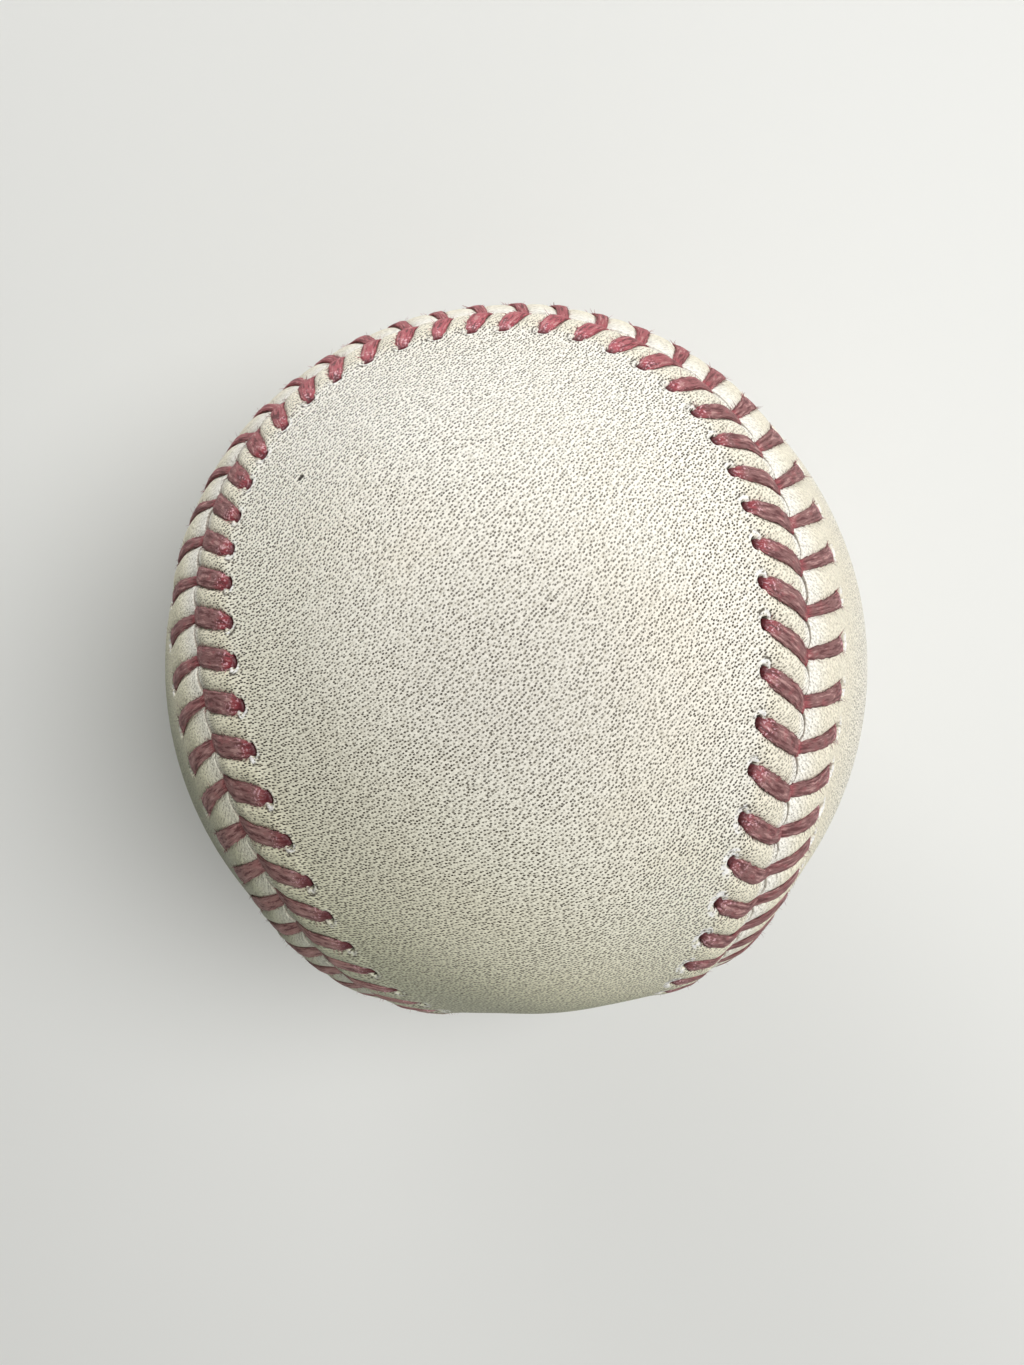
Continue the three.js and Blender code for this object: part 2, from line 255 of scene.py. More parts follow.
def welt(reach, side):
    """The broad lift of a panel along the seam, lower again at the slit."""
    share = np.clip(reach / WELT_REACH, 0, 1)
    ridge = WELT_RISE[side] * (0.5 + 0.5 * np.cos(math.pi * share))
    return ridge - VALLEY_DEPTH * (1 - smooth(reach, 0, VALLEY_REACH))


def slit_bend(along, reach):
    """How far the slit and the leather near it lie towards the front panel, in scallops: the front
    panel's edge bulges over the back one between the stitches."""
    past = along - SLIT_START[FRONT] - SCALLOP_LAG
    scallop = SLIT_SCALLOP * np.cos(2 * math.pi * past / PITCH)
    return (SLIT_SHIFT + scallop) * fade(reach, *SLIT_FADE)


def slit_gap(along, reach):
    """Half the slit's opening: pulled apart where a stitch goes down, pressed shut before the next."""
    past = (along - SLIT_START[FRONT]) % PITCH
    opened = SLIT_OPENING * np.exp(-(((past - OPENING_PAST) / OPENING_SPREAD) ** 2))
    return (SLIT_HALF_GAP + opened) * fade(reach, *OPENING_FADE)


# Stitch legs, as seen from above: from a hole to the slit, each a little different

EACH = np.arange(STITCHES)


def per_stitch(start, marks, scatter):
    """A value for each stitch: where it starts, how it drifts along the seam, and scatter."""
    return start + uneven(EACH, marks) + scatter * rng.normal(0, 1, STITCHES)


HOLE_ALONG = {side: per_stitch(HOLE_START[side], HOLE_DRIFT[side], HOLE_SCATTER[side]) for side in SIDES}
SLIT_ALONG = {side: per_stitch(SLIT_START[side], SLIT_DRIFT, SLIT_SCATTER) for side in SIDES}
LEG_SWELL = {side: per_stitch(1, SLACK[side], SWELL_SCATTER) for side in SIDES}
LEG_LEVEL = {side: per_stitch(0, (), LEVEL_SCATTER) for side in SIDES}
PILLOW_SWELL = {side: per_stitch(1, (), PILLOW_SCATTER) for side in SIDES}
LEG_BOW = {side: uneven(EACH, BOWED[side]) for side in SIDES}


def leg_course(share):
    """Of a leg at shares from hole (0) to slit (1): how much of its lean is done, and its reach."""
    early, late = REACH_PULL
    done = cubic(share, 0, *LEAN_PULL, 1)
    reach = cubic(share, HOLE_REACH, early * HOLE_REACH, late * HOLE_REACH, -PAST_SLIT)
    return done, reach


COURSE_SHARES = np.linspace(0, 1, 120)
COURSE_REACH = leg_course(COURSE_SHARES)[1]


def leg_lean(side, stitch, share):
    """How far along the seam a leg lies from its stitch, at shares from hole (0) to slit (1)."""
    done, _ = leg_course(share)
    straight = HOLE_ALONG[side][stitch] * (1 - done) + SLIT_ALONG[side][stitch] * done
    return straight + LEG_BOW[side][stitch] * np.sin(math.pi * share)


def leg_along(side, reach):
    """How far along the seam each leg lies from its stitch, at a distance from the seam."""
    return leg_lean(side, EACH, np.interp(-reach, -COURSE_REACH, COURSE_SHARES))


def leg_half_width(side, reach):
    """Half a leg's width before it swells, square to the leg."""
    knots = np.array(HALF_WIDTHS[side])
    return np.interp(reach / HOLE_REACH, knots[:, 0], knots[:, 1])


def leg_half_along(side, reach):
    """Half each leg's width, measured along the seam."""
    step = 0.1
    slope = (leg_along(side, reach + step) - leg_along(side, reach - step)) / (2 * step)
    longer = np.sqrt(1 + np.clip(np.abs(slope), 0, STEEPEST_LEAN) ** 2)
    return leg_half_width(side, reach) * LEG_SWELL[side] * longer


# Meshes

def out_of_round(points):
    """The points pressed in where the ball is flattened."""
    apart = COVER_RADIUS * np.arccos(np.clip(unit(points) @ unit(np.array(FLAT_HEADING)), -1, 1))
    return points * (1 - FLAT_DEPTH / COVER_RADIUS * np.exp(-((apart / FLAT_SPREAD) ** 2)))[:, None]


def new_object(name, data):
    made = bpy.data.objects.new(name, data)
    bpy.context.scene.collection.objects.link(made)
    return made


def new_piece(name, points, faces, material, node, attributes):
    """A smooth mesh in metres that stands for a CAD node. Attributes of the grain are places."""
    mesh = bpy.data.meshes.new(name)
    mesh.from_pydata((out_of_round(points) * MM).tolist(), [], faces)
    mesh.update()
    mesh.shade_smooth()
    for key, values in attributes.items():
        values = np.asarray(values, np.float32)
        spots = key.startswith("grain")
        layer = mesh.attributes.new(key, "FLOAT_VECTOR" if spots else "FLOAT", "POINT")
        layer.data.foreach_set("vector" if spots else "value", values.ravel())
    mesh.materials.append(material)
    piece = new_object(name, mesh)
    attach(piece, "root")
    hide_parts(node)


def ring_faces(rows):
    """Quads between consecutive closed rows of corner numbers, all of one length."""
    faces = []
    for near, far in zip(rows[:-1], rows[1:]):
        near_next, far_next = np.roll(near, -1), np.roll(far, -1)
        faces += np.stack([near, near_next, far_next, far], axis=1).tolist()
    return faces


def bridge(points, row_a, row_b):
    """Triangles between a closed row and a second row inside it that runs the same way."""
    start = int(np.argmin(np.linalg.norm(points[row_b] - points[row_a[0]], axis=1)))
    a = [*row_a, row_a[0]]
    b = [*row_b[start:], *row_b[:start], row_b[start]]
    faces = []
    i = j = 0
    while i < len(row_a) or j < len(row_b):
        if j == len(row_b):
            step_a = True
        elif i == len(row_a):
            step_a = False
        else:
            over_a = np.linalg.norm(points[a[i + 1]] - points[b[j]])
            over_b = np.linalg.norm(points[a[i]] - points[b[j + 1]])
            step_a = over_a < over_b
        if step_a:
            faces.append((a[i], a[i + 1], b[j]))
            i += 1
        else:
            faces.append((a[i], b[j + 1], b[j]))
            j += 1
    return faces


# Cover panels

# Columns of the cover's grid from one leg's middle (0), over its edge (1) and the pillow (1 to 3), to the
# next leg's edge (3) and almost its middle (4), and what follows from them for each corner of a row
COLUMNS = np.array([0, 0.45, 0.8, 1.0, 1.1, 1.25, 1.5, 1.8, 2.2, 2.5, 2.75, 2.9, 3.0, 3.2, 3.55])
COLUMN = np.tile(COLUMNS, STITCHES)
STITCH = np.repeat(EACH, len(COLUMNS))
NEXT_STITCH = (STITCH + 1) % STITCHES
NEAREST_STITCH = np.where(COLUMN < 2, STITCH, NEXT_STITCH)
TO_MIDDLE = np.minimum(COLUMN, 4 - COLUMN)
UNDER_LEG = np.clip(1 - TO_MIDDLE, 0, 1)
OVER_PILLOW = np.clip(TO_MIDDLE - 1, 0, 1)

# Rows of the grid by distance from the seam: round the lip, past it up to a ring, closer together at the
# holes, and inside the leather. The ribs of the plain middle begin past the ring
LIP_ANGLES = np.radians([0, 18, 36, 54, 72, 90])
RING_REACH = 9.6
ROW_REACHES = np.concatenate([
    np.arange(LIP_WIDTH + 0.2, HOLE_REACH - 0.75, 0.3),
    np.arange(HOLE_REACH - 0.7, HOLE_REACH + 1.05, 0.12),
    np.arange(HOLE_REACH + 1.15, HOLE_REACH + 2.0, 0.25),
    np.linspace(HOLE_REACH + 2.1, RING_REACH, 5),
])
INSIDE_REACHES = (RING_REACH, HOLE_REACH, 2.5, 0.0)
RIB_GAP = 1.1
RIB_SHARES = np.linspace(0.018, 0.482, 120)
RIB_COLUMNS = 28

# The middle of a panel counts as this far from a leg and, in hole sizes, from a hole
FAR_FROM_LEG = 2.0
FAR_FROM_HOLE = 9.0


def cover_rise(side, offset, reach, lip):
    """Rise of the worn cover over the welt, and its distance from the nearest hole in hole sizes."""
    pillow = PILLOW_SWELL[side][STITCH] * fade(reach, *PILLOW_FADE) * (1 - (1 - OVER_PILLOW) ** 3)
    groove = fade(reach, *GROOVE_FADE) * (1 - (1 - UNDER_LEG) ** 3)
    past = reach - HOLE_REACH - HOLE_OUTWARD[side]
    hole = np.hypot((offset + HOLE_BEHIND) / HOLE_HALF_LENGTH, past / HOLE_HALF_WIDTH)
    pit = HOLE_DEPTH * fade(hole, *HOLE_WALL)
    ridge = np.exp(-(((hole - RIM_MIDDLE) / RIM_SPREAD) ** 2))
    rim = RIM_RISE[side] * fade(reach, *RIM_OUTWARD) * ridge
    rise = PILLOW_PUFF * pillow - GROOVE_DEPTH * groove - pit + rim - LIP_DROP * (1 - lip)
    return rise, hole


def panel_row(side, reach, lip=1.0, inside=False):
    """One row of a panel's corners along the whole seam, with what the leather's looks need there.

    lip is how much of the rounded edge's height is reached. The torn side of a hole is behind its leg on
    the front panel and away from the seam on the back one.
    """
    middle = leg_along(side, reach)
    half = leg_half_along(side, reach)
    behind, ahead = middle[STITCH], PITCH + middle[NEXT_STITCH]
    edge, next_edge = behind + half[STITCH], ahead - half[NEXT_STITCH]
    along = edge + (COLUMN - 1) / 2 * (next_edge - edge)
    along = np.where(COLUMN < 1, behind + COLUMN * half[STITCH], along)
    along = np.where(COLUMN > 3, ahead - (4 - COLUMN) * half[NEXT_STITCH], along)
    offset = np.where(COLUMN < 2, along - behind, along - ahead)
    rise, hole = cover_rise(side, offset, reach, lip)
    if inside:
        rise = -LEATHER
    pulled = side * slit_bend(along, reach) + slit_gap(along, reach)
    return {
        "points": near_seam(STITCH + along / PITCH, side * (reach + pulled), welt(reach, side) + rise),
        "reach": np.full_like(along, reach),
        "leg_gap": np.abs(offset) - half[NEAREST_STITCH],
        "hole": hole,
        "torn_side": -offset if side == FRONT else np.full_like(along, reach - HOLE_REACH),
    }


def panel_middle(side, start, rise):
    """Ribs across the plain middle of a panel, between facing places of its ring."""
    reach = side * (RING_REACH + RIB_GAP)
    stations = RIB_SHARES * STITCHES
    right = near_seam(start + stations, reach, rise)
    left = near_seam(start - stations, reach, rise)
    radius = COVER_RADIUS + rise
    span = np.arccos(np.clip((right * left).sum(1) / radius ** 2, -1, 1))[:, None, None]
    share = np.linspace(0, 1, RIB_COLUMNS + 1)[None, :, None]
    grid = right[:, None] * np.sin((1 - share) * span) + left[:, None] * np.sin(share * span)
    return grid / np.sin(span)


def add_middle(points, faces, side, start, rise, ring, flip):
    """Adds the middle's points and faces inside a ring of corners, and returns all the points."""
    grid = panel_middle(side, start, rise)
    number = len(points) + np.arange(grid[..., 0].size).reshape(grid.shape[:2])
    points = np.concatenate([points, grid.reshape(-1, 3)])
    quads = np.stack([number[:-1, :-1], number[1:, :-1], number[1:, 1:], number[:-1, 1:]], axis=-1)
    outline = [*number[:, 0], *number[-1, 1:-1], *number[::-1, -1], *number[0, -2:0:-1]]
    made = quads.reshape(-1, 4).tolist()
    made += bridge(points, list(ring), outline)
    faces += [face[::-1] for face in made] if flip else made
    return points


def past_ring(points, ring):
    """Distances of points from the nearest corner of a ring."""
    tree = kdtree.KDTree(len(ring))
    for i, corner in enumerate(ring):
        tree.insert(corner, i)
    tree.balance()
    return np.array([tree.find(point)[2] for point in points])


def hide_spots(points, side):
    """Places on the hide before it was stretched over the ball, flattened round each round end: along
    its grain, across it, and the height over the plane between the ends, which tells them apart."""
    axis = 2 if side == FRONT else 0
    direction = unit(points)
    height = direction[:, axis]
    heading = np.delete(direction, axis, axis=1)
    heading = heading / np.maximum(np.linalg.norm(heading, axis=1, keepdims=True), 1e-9)
    cosine, sine = math.cos(GRAIN_HEADING), math.sin(GRAIN_HEADING)
    spots = []
    for end in (height, -height):
        angle = np.arccos(np.clip(end, -1, 1))
        drawn = (1 - DRAWN_IN) * angle + DRAWN_IN * np.sin(np.minimum(angle, DRAWN_ANGLE))
        flat = COVER_RADIUS * drawn[:, None] * heading
        along = flat @ np.array([cosine, sine])
        across = flat @ np.array([-sine, cosine])
        waver = GRAIN_WAVER * np.sin(along / WAVER_ALONG) * np.cos(across / WAVER_ACROSS)
        bent = across - GRAIN_BEND * np.minimum(along, 0) ** 2 + waver
        spots.append(np.column_stack([along, bent, COVER_RADIUS * height]) * MM)
    return spots


def cover_panel(name, node, side, start, material):
    """A panel of the cover. start is the station of its round end."""
    rows = [panel_row(side, reach, inside=True) for reach in INSIDE_REACHES]
    rows += [panel_row(side, LIP_WIDTH * (1 - math.cos(angle)), math.sin(angle)) for angle in LIP_ANGLES]
    rows += [panel_row(side, reach) for reach in ROW_REACHES]
    laced = {key: np.concatenate([row[key] for row in rows]) for key in rows[0]}
    points = laced["points"]
    laced_count = len(points)
    numbers = np.arange(laced_count).reshape(len(rows), -1)
    faces = ring_faces(list(numbers))
    if side == FRONT:
        faces = [face[::-1] for face in faces]
    points = add_middle(points, faces, side, start, 0.0, numbers[-1], side == FRONT)
    points = add_middle(points, faces, side, start, -LEATHER, numbers[0], side == BACK)

    far = RING_REACH + past_ring(points[laced_count:], points[numbers[-1]])
    points[laced_count:] *= 1 + welt(far, side)[:, None] / COVER_RADIUS
    near_end, far_end = hide_spots(points, side)
    reach = np.concatenate([laced["reach"], far])
    attributes = {
        "grain_near": near_end,
        "grain_far": far_end,
        "reach": reach,
        "bare_and_lit": fade(reach, *BARE_AND_LIT_EDGE[side]),
        "stained": fade(reach, *STAINED[side]),
        "pores": fade(reach, *OPEN_PORES[side]) * fade(reach, *MIDDLE_PORES[side]),
        "leg_gap": np.concatenate([laced["leg_gap"], np.full(len(far), FAR_FROM_LEG)]),
        "hole": np.concatenate([laced["hole"], np.full(len(far), FAR_FROM_HOLE)]),
        "torn_side": np.concatenate([laced["torn_side"], np.zeros(len(far))]),
    }
    new_piece(name, points, faces, material, node, attributes)


# Lacing threads

# Rings of a leg and corners of a ring, whose section is boxy, with twisted plies and a rough edge
LEG_RINGS = 26
RING_POINTS = 18
BOXY = 0.8
PLY_LOBES = 6
PLY_RELIEF = 0.06
PLY_TWIST = 0.7
ROUGH_EDGE = 0.045

# Near the slit a leg turns, to go down it cut square. A slanting cut is wider, up to a limit
LEG_TURN = (0.1, 1.7, 1.0, 0.0)
LEAST_SKEW = 0.6

# What a ring of a thread holds. Its share runs from the slit (0) to the hole (1) and on below the hole.
# The last two are the direction of its width, along and in reach
ALONG, REACH, RISE, WIDTH, THICKNESS, SHARE, WIDE_ALONG, WIDE_REACH = range(8)

# Rings in a hole: reach past the hole row, rise, width in leg widths, thickness and share
HOLE_RINGS = (
    (0.06, THREAD_UNDER, 0.8, 0.4, 1.5),
    (0.08, -0.65, 0.84, 0.42, 1.4),
    (0.1, -0.2, 0.88, 0.44, 1.25),
    (0.1, 0.15, 0.93, 0.46, 1.12),
    (0.06, 0.36, 0.97, 0.46, 1.05),
)

# Rings in the slit: along in tail lengths, reach, drop below the leg's end, width in leg widths, thickness
SLIT_TAIL = {FRONT: 1.0, BACK: 0.5}
SLIT_RINGS = (
    (0.12, -0.14, 0.05, 1.02, 0.32),
    (0.36, -0.17, 0.12, 0.86, 0.28),
    (0.68, -0.18, 0.24, 0.6, 0.25),
    (0.95, -0.18, 0.42, 0.36, 0.22),
    (1.05, -0.18, 1.0, 0.36, 0.24),
)

# Rings under the other panel: along in tail lengths and in millimetres, reach, rise, width and thickness
UNDER_RINGS = (
    (1.1, 0.0, -0.5, -0.75, 0.5, 0.3),
    (1.2, 0.0, -1.4, -1.0, 0.8, 0.38),
    (0.0, 1.4, -3.4, THREAD_UNDER, 0.9, 0.4),
)

# Loose fibres: number for each leg, radius, taper and length, where they stand, how often they grow along
# a leg and how much more at its hole, how far they lean out, along and up, and their sag
HAIRS = 30
HAIR_RADIUS = 0.025
HAIR_TAPER = 0.7
HAIR_LENGTH = (0.2, 0.7)
HAIR_CORNERS = np.radians([90, 210, 330])
HAIR_ROWS = (0.0, 0.5, 1.0)
HAIR_ROOT = 0.46
HAIR_SHARES = (0.02, 1.04)
LEG_HAIRS = 0.3
TIP_SHARES = (0.7, 0.95)
TIP_HAIRS = {FRONT: 0.8, BACK: 2.0}
HAIR_OUT = (0.2, 1.0)
HAIR_ALONG = 0.8
HAIR_UP = (0.1, 0.9)
HAIR_SAG = 0.12


def leg_rings(side, k):
    """Rings of one leg, up through its hole, over to the slit, down it and under the other panel.

    Reach counts away from the seam on the leg's own side.
    """
    share = np.linspace(0, 1, LEG_RINGS)
    reach = leg_course(share)[1]
    along = leg_lean(side, k, share)
    heading = unit(np.column_stack([np.gradient(along), np.gradient(reach)]))
    square = np.column_stack([-heading[:, 1], heading[:, 0]])
    turned = fade(reach, *LEG_TURN)[:, None]
    wide = unit(square * (1 - turned) + np.array([[1.0, 0.0]]) * turned)
    skew = np.abs(heading[:, 0] * wide[:, 1] - heading[:, 1] * wide[:, 0])
    width = 2 * leg_half_width(side, reach) / np.maximum(skew, LEAST_SKEW)
    rise = welt(reach, side) + THREAD_LIFT + LEG_LEVEL[side][k] + LEG_ARCH * np.sin(math.pi * share)
    rise -= HOLE_DIP * smooth(reach, HOLE_REACH - HOLE_DIP_REACH, HOLE_REACH) ** 2
    rise -= fade(reach, *SLIT_SINK[side]) + fade(reach, *SLIT_DIP)
    thickness = THREAD_THICKNESS * fade(reach, *THREAD_THINNED)
    over = np.column_stack([along, reach, rise, width, thickness, 1 - share, wide])

    hole, slit, tail = HOLE_ALONG[side][k], SLIT_ALONG[side][k], SLIT_TAIL[side]
    up = [
        (hole, HOLE_REACH + past, level, broad * width[0], thick, beyond, 1, 0)
        for past, level, broad, thick, beyond in HOLE_RINGS
    ]
    down = [
        (slit + tails * tail, past, rise[-1] - drop, broad * width[-1], thick, 0, 1, 0)
        for tails, past, drop, broad, thick in SLIT_RINGS
    ]
    under = [
        (slit + tails * tail + ahead, past, level, broad, thick, 0, 1, 0)
        for tails, ahead, past, level, broad, thick in UNDER_RINGS
    ]
    return np.concatenate([up, over, down, under])


def loose_hairs(path, wide, heading, first):
    """Fibres that stand off the legs' edges: their corners, faces, and the ring that each grows from."""
    lowest, highest = HAIR_SHARES
    on_leg = np.flatnonzero((path[:, SHARE] > lowest) & (path[:, SHARE] < highest))
    at_tip = np.where(path[on_leg, REACH] < 0, TIP_HAIRS[BACK], TIP_HAIRS[FRONT])
    often = LEG_HAIRS + smooth(path[on_leg, SHARE], *TIP_SHARES) * at_tip
    root = rng.choice(on_leg, HAIRS * STITCHES, p=often / often.sum())
    one_each = (len(root), 1)
    hand = rng.choice([-1.0, 1.0], len(root))[:, None]
    start = path[root, :WIDTH] + wide[root] * hand * path[root, WIDTH, None] * HAIR_ROOT
    lean = hand * wide[root] * rng.uniform(*HAIR_OUT, one_each)
    lean = lean + heading[root] * rng.normal(0, HAIR_ALONG, one_each)
    lean[:, RISE] += rng.uniform(*HAIR_UP, len(root))
    grown = unit(lean) * rng.uniform(*HAIR_LENGTH, one_each)
    sag = rng.normal(0, HAIR_SAG, (len(root), 3))
    spread = [np.cos(HAIR_CORNERS), np.sin(HAIR_CORNERS), np.cos(HAIR_CORNERS + 1)]
    spread = np.stack(spread, axis=1) * HAIR_RADIUS
    rows = []
    for share in HAIR_ROWS:
        middle = start + grown * share + sag * share ** 2
        rows.append(middle[:, None] + spread[None] * (1 - HAIR_TAPER * share))
    rows = np.stack(rows, axis=1)
    numbers = first + np.arange(rows[..., 0].size).reshape(rows.shape[:3])
    faces = []
    for hair in numbers:
        faces += ring_faces(list(hair))
    return rows.reshape(-1, 3), faces, np.repeat(root, rows.shape[1] * rows.shape[2])


def seam_thread(name, node, first_side, material):
    """One thread, whose legs lie on the two panels by turns, first on the given side."""
    sections = []
    for k in range(STITCHES):
        side = first_side if k % 2 == 0 else -first_side
        leg = leg_rings(side, k)
        bent = slit_bend(leg[:, ALONG], np.abs(leg[:, REACH]))
        leg[:, ALONG] += k * PITCH
        leg[:, REACH] = side * leg[:, REACH] + bent
        leg[:, WIDE_REACH] *= side
        leg[:, WIDTH] *= LEG_SWELL[side][k]
        sections.append(leg)
    path = np.concatenate(sections)
    place = path[:, :WIDTH]
    heading = unit(np.gradient(place, axis=0))
    wide = np.column_stack([path[:, WIDE_ALONG:], np.zeros(len(path))])
    tall = unit(np.cross(heading, wide))
    length = np.concatenate([[0], np.cumsum(np.linalg.norm(np.diff(place, axis=0), axis=1))])
    angle = np.linspace(0, 2 * math.pi, RING_POINTS, endpoint=False)[None, :]
    ply = 1 + PLY_RELIEF * np.cos(PLY_LOBES * angle + PLY_TWIST * length[:, None])
    cosine, sine = np.cos(angle), np.sin(angle)
    rough = ROUGH_EDGE * rng.normal(0, 1, (len(path), RING_POINTS))
    half_width = path[:, WIDTH, None] / 2 + rough
    half_thickness = path[:, THICKNESS, None] / 2
    across = np.sign(cosine) * np.abs(cosine) ** BOXY * half_width * ply
    high = np.sign(sine) * np.abs(sine) ** BOXY * half_thickness * ply
    local = place[:, None] + wide[:, None] * across[..., None] + tall[:, None] * high[..., None]
    numbers = np.arange(local[..., 0].size).reshape(len(path), RING_POINTS)
    faces = ring_faces(list(numbers))
    faces.append(numbers[0][::-1].tolist())
    faces.append(numbers[-1].tolist())

    crest = (local[..., RISE] - place[:, RISE, None]) / half_thickness
    hairs, hair_faces, root = loose_hairs(path, wide, heading, numbers.size)
    local = np.concatenate([local.reshape(-1, 3), hairs])
    faces += hair_faces
    points = near_seam(local[:, ALONG] / PITCH, local[:, REACH], local[:, RISE])
    attributes = {
        "leg_share": np.concatenate([np.repeat(path[:, SHARE], RING_POINTS), path[root, SHARE]]),
        "crest": np.concatenate([crest.ravel(), np.ones(len(root))]),
        "along_leg": np.concatenate([np.repeat(length, RING_POINTS), length[root]]),
        "round_leg": np.concatenate([np.tile(angle[0], len(path)), np.zeros(len(root))]),
    }
    new_piece(name, points, faces, material, node, attributes)


# Materials

class Shader:
    """A node material with short calls for the nodes that its surface needs."""

    def __init__(self, name, **constants):
        self.material = bpy.data.materials.new(name)
        self.material.use_nodes = True
        self.tree = self.material.node_tree
        self.surface = self.tree.nodes["Principled BSDF"]
        for key, value in constants.items():
            self.surface.inputs[key.replace("_", " ")].default_value = value

    def node(self, kind, output=0, inputs=None, **settings):
        made = self.tree.nodes.new(kind)
        for key, value in settings.items():
            setattr(made, key, value)
        for key, value in (inputs or {}).items():
            if isinstance(value, bpy.types.NodeSocket):
                self.tree.links.new(value, made.inputs[key])
            else:
                made.inputs[key].default_value = value
        return made.outputs[output]

    def spot(self):
        """Object coordinates in metres."""
        return self.node("ShaderNodeTexCoord", "Object")

    def place(self, size=(1, 1, 1), turn=(0, 0, 0), spot=None):
        """Object coordinates, turned and then measured in units of a size in millimetres."""
        if spot is None:
            spot = self.spot()
        inputs = {"Vector": spot, "Rotation": turn, "Scale": [value * MM for value in size]}
        return self.node("ShaderNodeMapping", inputs=inputs, vector_type="TEXTURE")

    def attribute(self, name, output="Fac"):
        return self.node("ShaderNodeAttribute", output, attribute_name=name)

    def vector(self, operation, a, b, output=0):
        return self.node("ShaderNodeVectorMath", output, {0: a, 1: b}, operation=operation)

    def along(self, spot, direction):
        """How far a spot lies in a direction."""
        return self.vector("DOT_PRODUCT", spot, direction, 1)

    def apart(self, spot, place):
        """How far a spot lies from a place in millimetres."""
        return self.vector("DISTANCE", spot, [value * MM for value in place], 1)

    def axis(self, spot, number):
        return self.node("ShaderNodeSeparateXYZ", number, {0: spot})

    def strokes(self, spot, gap, half):
        """Short strokes strewn about, 1 in their middles and each of its own size and strength.

        Their spacing and half their size are given along and across them.
        """
        grid = self.place((*gap, 1.0), spot=spot)
        cell = self.cells(grid, 1.0, STROKE_STRAY, "2D")
        away = self.vector("SUBTRACT", grid, cell.node.outputs["Position"])
        away = self.vector("MULTIPLY", away, (gap[0] / half[0], gap[1] / half[1], 0.0))
        away = self.node("ShaderNodeVectorMath", 1, {0: away}, operation="LENGTH")
        each = self.node("ShaderNodeSeparateColor", 0, {0: cell.node.outputs["Color"]})
        away = self.times(away, self.step(each, *STROKE_SIZES))
        return self.times(self.step(away, *STROKE_EDGE), self.step(each, *STROKE_STRENGTHS))

    def noise(self, vector, scale, detail=2.0, rough=0.5):
        inputs = {"Vector": vector, "Scale": scale, "Detail": detail, "Roughness": rough}
        return self.node("ShaderNodeTexNoise", 0, inputs)

    def cells(self, vector, scale, stray=1.0, dimensions="3D"):
        inputs = {"Vector": vector, "Scale": scale, "Randomness": stray}
        return self.node("ShaderNodeTexVoronoi", 0, inputs, voronoi_dimensions=dimensions)

    def step(self, value, low, high, before=0.0, after=1.0, unit=1.0):
        """A soft change, whose ends are measured in a unit."""
        ends = {"From Min": low * unit, "From Max": high * unit}
        inputs = {"Value": value, **ends, "To Min": before, "To Max": after}
        return self.node("ShaderNodeMapRange", 0, inputs, interpolation_type="SMOOTHSTEP")

    def math(self, operation, a, b=0.0):
        return self.node("ShaderNodeMath", 0, {0: a, 1: b}, operation=operation)

    def times(self, *factors):
        product = factors[0]
        for factor in factors[1:]:
            product = self.math("MULTIPLY", product, factor)
        return product

    def between(self, share, a, b):
        return self.node("ShaderNodeMix", 0, {0: share, 2: a, 3: b})

    def blend(self, share, a, b):
        """A mix of two colours, each written as three numbers or taken from another node."""
        a, b = [(*colour, 1) if isinstance(colour, tuple) else colour for colour in (a, b)]
        return self.node("ShaderNodeMix", 2, {0: share, 6: a, 7: b}, data_type="RGBA")

    def bump(self, height, strength, distance):
        inputs = {"Height": height, "Strength": strength, "Distance": distance * MM}
        return self.node("ShaderNodeBump", 0, inputs)

    def set(self, key, value):
        self.tree.links.new(value, self.surface.inputs[key])


# Directions on the ball. Towards the ground it is soiled and has painted shade and a painted green
# reflection, and there the farthest edge reads 0.87
GROUNDWARD = (-14.0, -16.0, -10.0)
DOWN = (0.0, -1.0, 0.0)
LEFT = (-1.0, -0.3, 0.0)
LOWER_LEFT = (-0.7, -0.7, 0.0)
LOWER_RIGHT = (0.5, -0.85, 0.0)
UPPER_LEFT = (-0.75, 0.66, 0.0)

# Strokes of the grain: how far they stray, their sizes, soft edges and strengths, then the pores' spacing
# and half size along and across, the size of streaks, patches and blotches, and where the two ends meet
STROKE_STRAY = 0.66
STROKE_SIZES = (0.0, 1.0, 1.12, 0.9)
STROKE_EDGE = (0.45, 1.05, 1.0, 0.0)
STROKE_STRENGTHS = (0.0, 0.8, 0.6, 1.0)
PORE_SPACING = (0.265, 0.34)
PORE_HALF_SIZE = (0.125, 0.093)
STREAK_SIZE = (0.4, 0.18, 1.0)
PATCH_SIZE = (14, 14, 14)
BLOTCH_SIZE = (4, 4, 4)
ENDS_MEET = (-4, 4)

# Leather: the plain hide, then its soiled, handled and worn parts with painted shade, a painted green
# reflection and a painted highlight on the bleached edge, then what is small and dark or torn
CREAM = (0.88, 0.847, 0.762)
TAN = (0.85, 0.79, 0.67)
PALE = (0.905, 0.88, 0.825)
HANDLED = (0.83, 0.77, 0.62)
SOILED_AND_GREEN_BOUNCE = (0.84, 0.815, 0.58)
GROUND_SHADE = (0.55, 0.56, 0.41)
LEFT_EDGE_SHADE = (0.40, 0.42, 0.28)
MIDDLE_SHADE = (0.78, 0.745, 0.665)
BLEACHED_AND_LIT = (0.95, 0.925, 0.865)
PORE = (0.065, 0.05, 0.034)
STREAK = (0.42, 0.38, 0.29)
MARK = (0.05, 0.04, 0.032)
TORN = (0.96, 0.945, 0.92)
CRESCENT = (0.12, 0.105, 0.08)
HOLE_SHADE = (0.03, 0.022, 0.018)
LEG_SHADE = (0.32, 0.22, 0.17)
SLIT_SHADE = (0.22, 0.165, 0.12)

# Middle of the painted shade that darkens the front panel's middle
MIDDLE_SHADE_PLACE = (3.0, 2.0, 37.0)

